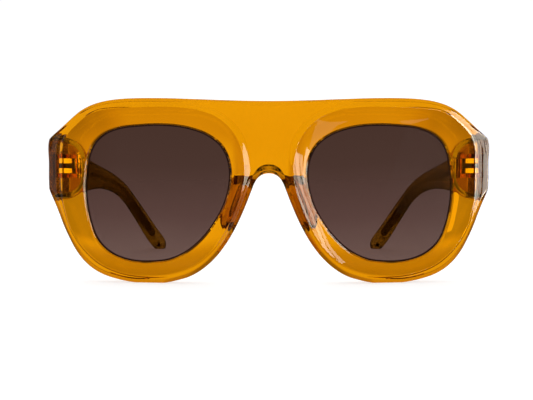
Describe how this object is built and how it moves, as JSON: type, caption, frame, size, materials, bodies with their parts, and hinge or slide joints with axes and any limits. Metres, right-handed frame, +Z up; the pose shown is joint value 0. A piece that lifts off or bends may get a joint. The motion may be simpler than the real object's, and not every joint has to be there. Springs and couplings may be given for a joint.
{
  "type": "sunglasses",
  "caption": "Full-frame sunglasses in clear amber plastic with gradient brown lenses, nose pads and hinged temples that fold behind the front.",
  "frame": {"origin": "on the floor, under the middle of the bounding box with the temples open", "axes": "+Z up, -Y the way the lenses face, +X to the right for someone looking at the lenses"},
  "size_m": [0.1482, 0.1507, 0.0607],
  "materials": {
    "amber": "polished clear amber sheet plastic",
    "amber_pad": "polished clear amber plastic",
    "amber_temple": "polished clear amber sheet plastic",
    "lens_tint": "gradient brown, darker at the top",
    "hinge_brass": "gold plated",
    "hinge_leaf_brass": "gold plated",
    "screw_steel": "bright",
    "wire_steel": "drawn wire"
  },
  "bodies": {
    "front": {"front_frame": "amber", "lens_left": "lens_tint", "lens_right": "lens_tint", "nose_pad_left": "amber_pad", "nose_pad_right": "amber_pad", "hinge_front_leaf_left": "hinge_brass", "hinge_front_leaf_right": "hinge_brass", "hinge_screw_left": "screw_steel", "hinge_screw_right": "screw_steel"},
    "left_arm": {"temple_left": "amber_temple", "hinge_temple_leaf_left": "hinge_leaf_brass", "core_wire_left": "wire_steel"},
    "right_arm": {"temple_right": "amber_temple", "hinge_temple_leaf_right": "hinge_leaf_brass", "core_wire_right": "wire_steel"}
  },
  "joints": [
    {"name": "left_hinge", "type": "hinge", "parent": "front", "child": "left_arm", "pos_m": [-0.0667, -0.05339, 0.03857], "axis": [0, 0, -1], "range_deg": [0, 83]},
    {"name": "right_hinge", "type": "hinge", "parent": "front", "child": "right_arm", "pos_m": [0.0667, -0.05339, 0.03857], "axis": [0, 0, 1], "range_deg": [0, 75]}
  ]
}
